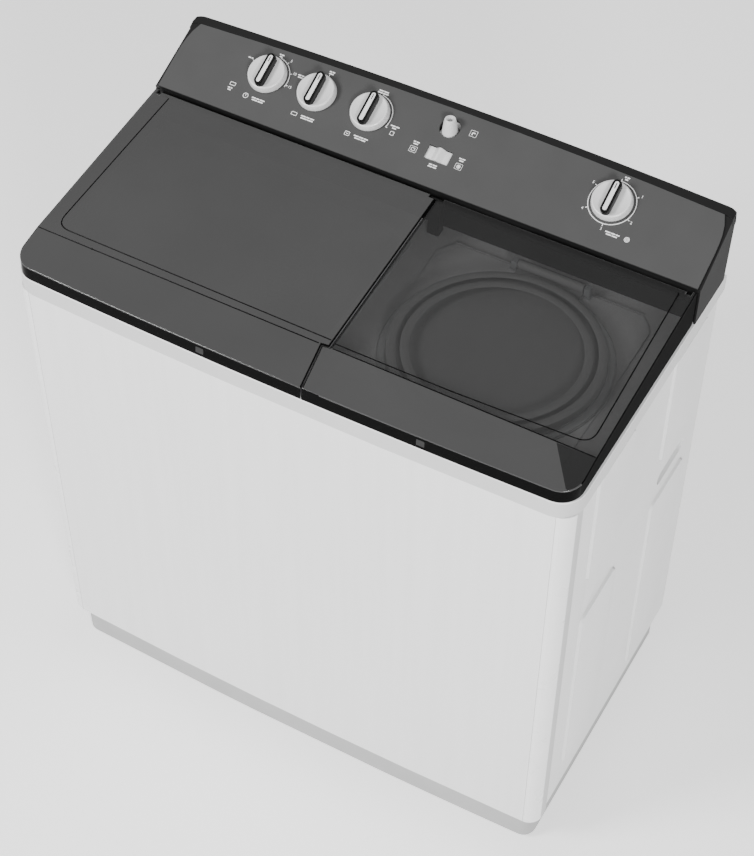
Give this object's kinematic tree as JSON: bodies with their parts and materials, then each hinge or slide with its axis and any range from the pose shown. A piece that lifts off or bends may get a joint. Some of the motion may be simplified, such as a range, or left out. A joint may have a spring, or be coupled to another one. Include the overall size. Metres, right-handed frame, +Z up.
{
  "type": "twin tub washer",
  "caption": "Free-standing twin tub washer: wash tub with a pulsator, spin tub with a basket, hinged smoke lids, sloping control panel with dials.",
  "frame": {"origin": "on the floor under the middle of the machine's outer box", "axes": "+Z up, the front with the lids' free edge faces -Y, +X to the user's right"},
  "size_m": [0.87, 0.5108, 0.9778],
  "materials": {
    "cabinet_white": "satin white",
    "front_sheet": "satin white with a faint upright grain",
    "plinth_grey": "matte grey",
    "smoke_plastic": "glossy, smoke tinted, see-through",
    "panel_black": "satin black",
    "panel_grey": "satin dark grey",
    "silver_plastic": "silver paint on plastic",
    "grip_black": "black",
    "tub_white": "satin white",
    "steel": "brushed",
    "motor_grey": "grey",
    "rubber": "black",
    "aluminium": "cast",
    "inner_plastic": "off white"
  },
  "bodies": {
    "machine": {"back_cover": "cabinet_white", "base_plinth": "plinth_grey", "capacitor": "inner_plastic", "console_face": "panel_grey", "console_housing": "panel_black", "console_rear_cover": "cabinet_white", "cord_gland": "rubber", "drain_cam": "inner_plastic", "drain_hose": "rubber", "drain_valve_body": "inner_plastic", "drive_belt": "rubber", "foot_front_left": "rubber", "foot_front_right": "rubber", "foot_rear_left": "rubber", "foot_rear_right": "rubber", "front_panel": "front_sheet", "hinge_post_left": "inner_plastic", "hinge_post_middle": "inner_plastic", "hinge_post_right": "inner_plastic", "program_switch": "inner_plastic", "pulsator_bearing_housing": "aluminium", "safety_hinge_base": "inner_plastic", "side_panel_left": "cabinet_white", "side_panel_right": "cabinet_white", "spin_motor": "motor_grey", "spin_seal": "rubber", "spin_timer": "inner_plastic", "spin_tub": "tub_white", "spin_tub_ring": "tub_white", "spring_boot_front": "rubber", "spring_boot_left": "rubber", "spring_boot_right": "rubber", "top_frame": "cabinet_white", "wash_motor": "motor_grey", "wash_timer": "inner_plastic", "wash_tub": "tub_white", "water_diverter": "inner_plastic", "water_inlet_spigot": "silver_plastic"},
    "wash_lid": {"wash_lid": "smoke_plastic"},
    "spin_lid": {"spin_lid": "smoke_plastic"},
    "safety_lid": {"spin_safety_lid": "smoke_plastic"},
    "wash_timer_dial": {"wash_timer_knob": "silver_plastic", "wash_timer_grip": "grip_black"},
    "program_dial": {"program_knob": "silver_plastic", "program_grip": "grip_black"},
    "drain_dial": {"drain_knob": "silver_plastic", "drain_grip": "grip_black"},
    "spin_timer_dial": {"spin_timer_knob": "silver_plastic", "spin_timer_grip": "grip_black"},
    "water_slider": {"water_selector": "silver_plastic"},
    "wash_rotor": {"pulsator": "tub_white", "pulsator_shaft": "steel", "wash_pulley": "aluminium"},
    "motor_rotor": {"motor_pulley": "aluminium"},
    "spin_rotor": {"spin_basket": "steel", "spin_shaft": "steel"},
    "brake": {"brake_lever": "steel"},
    "drain_valve": {"drain_plunger": "rubber"},
    "filter": {"lint_filter": "inner_plastic"}
  },
  "joints": [
    {"name": "wash_lid_hinge", "type": "hinge", "parent": "machine", "child": "wash_lid", "pos_m": [-0.19, 0.1177, 0.9075], "axis": [-1, 0, 0], "range_deg": [0, 100]},
    {"name": "spin_lid_hinge", "type": "hinge", "parent": "machine", "child": "spin_lid", "pos_m": [0.23, 0.1177, 0.9075], "axis": [-1, 0, 0], "range_deg": [0, 100]},
    {"name": "safety_lid_hinge", "type": "hinge", "parent": "machine", "child": "safety_lid", "pos_m": [0.229, 0.103, 0.8655], "axis": [-1, 0, 0], "range_deg": [0, 90]},
    {"name": "wash_timer_turn", "type": "hinge", "parent": "machine", "child": "wash_timer_dial", "pos_m": [-0.281, 0.1948, 0.9476], "axis": [0, 0.4067, -0.9135], "range_deg": [0, 300]},
    {"name": "program_turn", "type": "hinge", "parent": "machine", "child": "program_dial", "pos_m": [-0.198, 0.1948, 0.9476], "axis": [0, 0.4067, -0.9135], "range_deg": [-65, 0]},
    {"name": "drain_turn", "type": "hinge", "parent": "machine", "child": "drain_dial", "pos_m": [-0.11, 0.1948, 0.9476], "axis": [0, 0.4067, -0.9135], "range_deg": [0, 110]},
    {"name": "spin_timer_turn", "type": "hinge", "parent": "machine", "child": "spin_timer_dial", "pos_m": [0.27, 0.1948, 0.9476], "axis": [0, 0.4067, -0.9135], "range_deg": [0, 300]},
    {"name": "water_selector_slide", "type": "slide", "parent": "machine", "child": "water_slider", "axis": [1, 0, 0], "range_m": [-0.007, 0.007]},
    {"name": "pulsator_spin", "type": "hinge", "parent": "machine", "child": "wash_rotor", "pos_m": [-0.19, -0.06, 0.36], "axis": [0, 0, 1], "continuous": true},
    {"name": "motor_pulley_spin", "type": "hinge", "parent": "machine", "child": "motor_rotor", "pos_m": [-0.345, 0.06, 0.245], "axis": [0, 0, 1], "continuous": true},
    {"name": "spin_basket_spin", "type": "hinge", "parent": "machine", "child": "spin_rotor", "pos_m": [0.229, -0.0638, 0.47], "axis": [0, 0, 1], "continuous": true},
    {"name": "brake_turn", "type": "hinge", "parent": "machine", "child": "brake", "pos_m": [0.30129, -0.07396, 0.37], "axis": [0, 0, 1], "range_deg": [0, 2]},
    {"name": "drain_plunger_lift", "type": "slide", "parent": "machine", "child": "drain_valve", "axis": [0, 0, 1], "range_m": [0, 0.012]},
    {"name": "lint_filter_lift", "type": "slide", "parent": "machine", "child": "filter", "axis": [0, 0, 1], "range_m": [0, 0.03]}
  ],
  "couplings": [
    {"joint": "safety_lid_hinge", "follows": "spin_lid_hinge", "ratio": 0.88},
    {"joint": "brake_turn", "follows": "spin_lid_hinge", "ratio": 0.018},
    {"joint": "drain_turn", "follows": "drain_plunger_lift", "rad_per_m": 159.9},
    {"joint": "motor_pulley_spin", "follows": "pulsator_spin", "ratio": 3}
  ]
}
